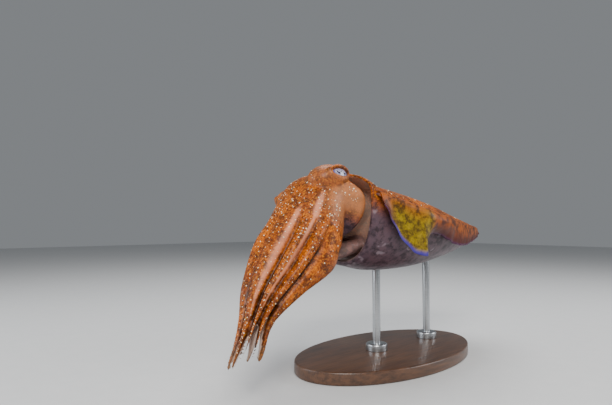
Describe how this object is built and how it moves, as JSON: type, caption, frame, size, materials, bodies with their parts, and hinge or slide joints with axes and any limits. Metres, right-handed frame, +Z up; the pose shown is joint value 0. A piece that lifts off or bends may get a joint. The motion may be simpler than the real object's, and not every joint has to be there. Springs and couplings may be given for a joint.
{
  "type": "cuttlefish",
  "caption": "Life-size cuttlefish model hovering with its ring of arms hanging down, a wavy fin along each side, held over a flat oval base by slim rods.",
  "frame": {"origin": "centre of the underside of the stand's oval base, on the floor", "axes": "+Z up out of the base; the head and arms point along -X and the tail along +X; the animal's left side is -Y"},
  "size_m": [0.38, 0.1654, 0.1948],
  "materials": {
    "skin": "moist satin skin, orange brown with dark mottling and pale spots",
    "fin_skin": "moist satin skin, yellow olive with a violet margin",
    "belly_skin": "moist satin skin, grey mauve",
    "eye": "glossy wet eye, dark W-shaped pupil on silver blue",
    "lips": "moist pale skin",
    "base": "dark stained, satin varnish",
    "steel": "brushed"
  },
  "bodies": {
    "root": {"mantle": "skin", "head": "skin", "fin_left": "fin_skin", "fin_right": "fin_skin", "eye_left": "eye", "eye_right": "eye", "mouth": "lips", "funnel": "belly_skin", "stand_base": "base", "stand_rod_front": "steel", "stand_rod_rear": "steel", "stand_collar_front": "steel", "stand_collar_rear": "steel", "arm_left_1_base": "skin", "arm_left_1_middle": "skin", "arm_left_1_tip": "skin", "arm_left_2_base": "skin", "arm_left_2_middle": "skin", "arm_left_2_tip": "skin", "arm_left_3_base": "skin", "arm_left_3_middle": "skin", "arm_left_3_tip": "skin", "arm_left_4_base": "skin", "arm_left_4_middle": "skin", "arm_left_4_tip": "skin", "arm_right_1_base": "skin", "arm_right_1_middle": "skin", "arm_right_1_tip": "skin", "arm_right_2_base": "skin", "arm_right_2_middle": "skin", "arm_right_2_tip": "skin", "arm_right_3_base": "skin", "arm_right_3_middle": "skin", "arm_right_3_tip": "skin", "arm_right_4_base": "skin", "arm_right_4_middle": "skin", "arm_right_4_tip": "skin"}
  },
  "joints": []
}
